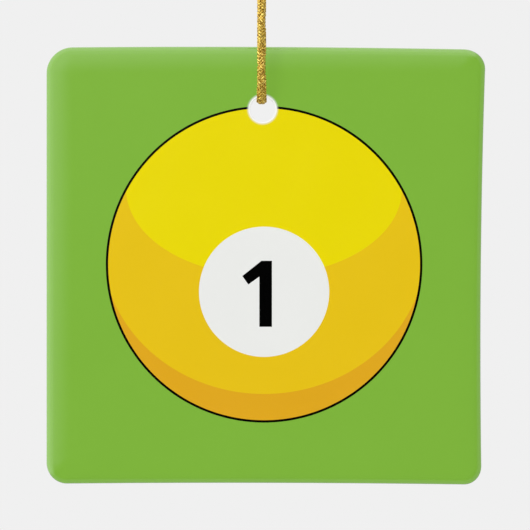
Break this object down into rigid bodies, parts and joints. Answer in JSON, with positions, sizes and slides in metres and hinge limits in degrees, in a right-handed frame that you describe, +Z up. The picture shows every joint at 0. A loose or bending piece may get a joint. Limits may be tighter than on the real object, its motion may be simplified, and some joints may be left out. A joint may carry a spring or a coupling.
{
  "type": "hanging ceramic ornament",
  "caption": "Square glazed ceramic ornament printed on both faces with a yellow numbered pool ball on green, hung by its hole on a knotted loop of gold cord.",
  "frame": {"origin": "the hang point: the inside of the top of the cord's small loop, where a hook bears", "axes": "+Z up, front face towards -Y, +X to the right as seen from the front"},
  "size_m": [0.0736, 0.0082, 0.1062],
  "materials": {
    "bisque": "matt fired ceramic",
    "white_glaze": "glossy white glaze",
    "green_glaze": "glossy printed glaze",
    "black_glaze": "glossy printed glaze",
    "light_yellow_glaze": "glossy printed glaze",
    "middle_yellow_glaze": "glossy printed glaze",
    "dark_yellow_glaze": "glossy printed glaze",
    "gold_cord": "braided gold metallic thread"
  },
  "bodies": {
    "hanger": {"loop_top": "gold_cord"},
    "knot": {"loop_left": "gold_cord", "loop_right": "gold_cord", "cord_knot": "gold_cord", "cord_tail_left": "gold_cord", "cord_tail_right": "gold_cord"},
    "drop": {"hanging_cord": "gold_cord"},
    "tile": {"ceramic_body": "bisque", "edge_glaze": "white_glaze", "hole_glaze": "white_glaze", "front_field": "green_glaze", "front_ball_line": "black_glaze", "front_ball_light": "light_yellow_glaze", "front_ball_middle": "middle_yellow_glaze", "front_ball_shade": "dark_yellow_glaze", "front_number_disc": "white_glaze", "front_numeral": "black_glaze", "back_field": "green_glaze", "back_ball_line": "black_glaze", "back_ball_light": "light_yellow_glaze", "back_ball_middle": "middle_yellow_glaze", "back_ball_shade": "dark_yellow_glaze", "back_number_disc": "white_glaze", "back_numeral": "black_glaze"}
  },
  "joints": [
    {"name": "swing", "type": "hinge", "parent": "hanger", "child": "knot", "pos_m": [0, 0, -0.0019], "axis": [0, 1, 0], "range_deg": [-25, 25]},
    {"name": "twist", "type": "hinge", "parent": "knot", "child": "drop", "pos_m": [0, 0, -0.018], "axis": [0, 0, 1], "range_deg": [-180, 180]},
    {"name": "rock", "type": "hinge", "parent": "drop", "child": "tile", "pos_m": [0, 0, -0.0408], "axis": [0, 1, 0], "range_deg": [-45, 45]}
  ]
}
